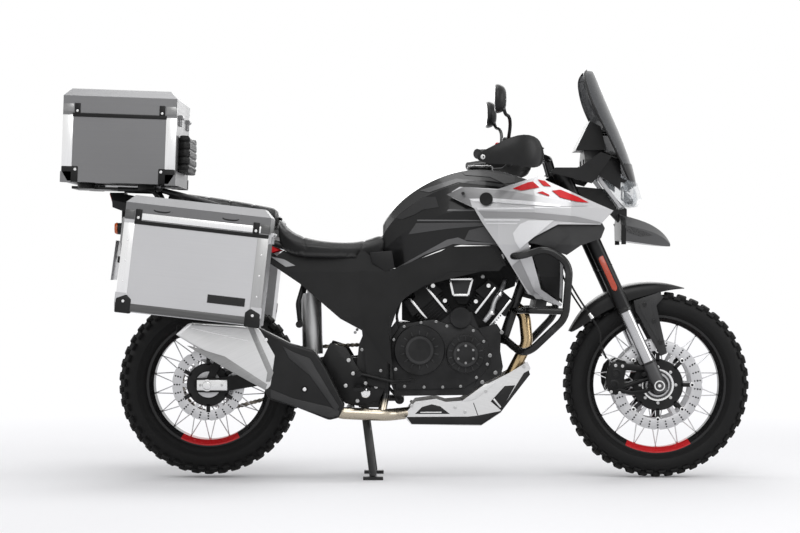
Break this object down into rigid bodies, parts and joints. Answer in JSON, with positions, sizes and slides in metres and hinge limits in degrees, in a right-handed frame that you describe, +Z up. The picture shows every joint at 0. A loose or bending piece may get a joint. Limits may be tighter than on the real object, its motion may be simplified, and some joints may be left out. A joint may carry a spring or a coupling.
{
  "type": "adventure touring motorcycle",
  "caption": "Adventure touring motorcycle on its centre stand, with wire wheels, tall screen, hand guards, crash bars and aluminium luggage cases.",
  "frame": {"origin": "on the ground in the centre plane, half way along the overall length", "axes": "+X forwards, +Y to the rider's left, +Z up"},
  "size_m": [2.418, 0.986, 1.4378],
  "materials": {
    "frame_paint": "satin",
    "silver_paint": "gloss",
    "grey_plastic": "matt",
    "black_plastic": "matt",
    "tyre": "matt",
    "rim": "satin",
    "steel": "brushed",
    "case_alu": "brushed",
    "cast_alu": "cast",
    "rubber": "matt",
    "seat": "grained",
    "screen": "clear",
    "lamp": "clear",
    "chain": "oiled",
    "anodised": "anodised"
  },
  "bodies": {
    "chassis": {"frame": "frame_paint", "engine_crankcase": "cast_alu", "engine_cylinders": "cast_alu", "radiator": "black_plastic", "exhaust_headers": "steel", "muffler": "steel", "muffler_shield": "black_plastic", "skid_plate": "black_plastic", "fuel_tank": "silver_paint", "side_fairings": "silver_paint", "upper_grilles": "grey_plastic", "radiator_shrouds": "grey_plastic", "side_covers": "black_plastic", "beak": "silver_paint", "nose_fairing": "black_plastic", "headlamp": "lamp", "windscreen": "screen", "rider_seat": "seat", "pillion_seat": "seat", "tail_unit": "black_plastic", "swingarm": "anodised", "rear_shock": "anodised", "drive_chain": "chain", "front_sprocket": "steel", "crash_bars": "frame_paint", "luggage_carrier": "frame_paint", "foot_controls": "anodised", "top_case": "case_alu", "backrest_pad": "rubber", "pannier_right": "case_alu", "pannier_left": "case_alu", "rear_caliper": "anodised"},
    "steering": {"fork": "anodised", "handlebar": "frame_paint", "hand_guards": "black_plastic", "mirrors": "black_plastic", "front_fender": "black_plastic", "front_calipers": "anodised"},
    "front_wheel": {"front_tyre": "tyre", "front_rim": "rim", "front_discs": "steel"},
    "rear_wheel": {"rear_tyre": "tyre", "rear_rim": "rim", "rear_disc": "steel", "rear_sprocket": "steel"},
    "centre_stand": {"centre_stand": "frame_paint"},
    "side_stand": {"side_stand": "frame_paint"},
    "top_case_lid": {"top_case_lid": "case_alu"},
    "pannier_right_lid": {"pannier_right_lid": "case_alu"},
    "pannier_left_lid": {"pannier_left_lid": "case_alu"}
  },
  "joints": [
    {"name": "steering_turn", "type": "hinge", "parent": "chassis", "child": "steering", "pos_m": [0.61218, 0, 0.84434], "axis": [-0.4147, 0, 0.91], "range_deg": [-34, 34]},
    {"name": "front_wheel_spin", "type": "hinge", "parent": "steering", "child": "front_wheel", "pos_m": [0.88, 0, 0.329], "axis": [0, 1, 0], "continuous": true},
    {"name": "rear_wheel_spin", "type": "hinge", "parent": "chassis", "child": "rear_wheel", "pos_m": [-0.7, 0, 0.331], "axis": [0, 1, 0], "continuous": true},
    {"name": "centre_stand_fold", "type": "hinge", "parent": "chassis", "child": "centre_stand", "pos_m": [-0.1549, 0, 0.2686], "axis": [0, 1, 0], "range_deg": [0, 84]},
    {"name": "side_stand_swing", "type": "hinge", "parent": "chassis", "child": "side_stand", "pos_m": [-0.0285, 0.138, 0.27176], "axis": [0, -0.9659, -0.2588], "range_deg": [0, 100]},
    {"name": "top_case_lid_open", "type": "hinge", "parent": "chassis", "child": "top_case_lid", "pos_m": [-0.78868, 0, 1.26475], "axis": [0, 1, 0], "range_deg": [0, 90]},
    {"name": "pannier_right_lid_open", "type": "hinge", "parent": "chassis", "child": "pannier_right_lid", "pos_m": [-0.45461, -0.374, 0.85058], "axis": [0, 1, 0], "range_deg": [0, 90]},
    {"name": "pannier_left_lid_open", "type": "hinge", "parent": "chassis", "child": "pannier_left_lid", "pos_m": [-0.45461, 0.374, 0.85058], "axis": [0, 1, 0], "range_deg": [0, 90]}
  ]
}
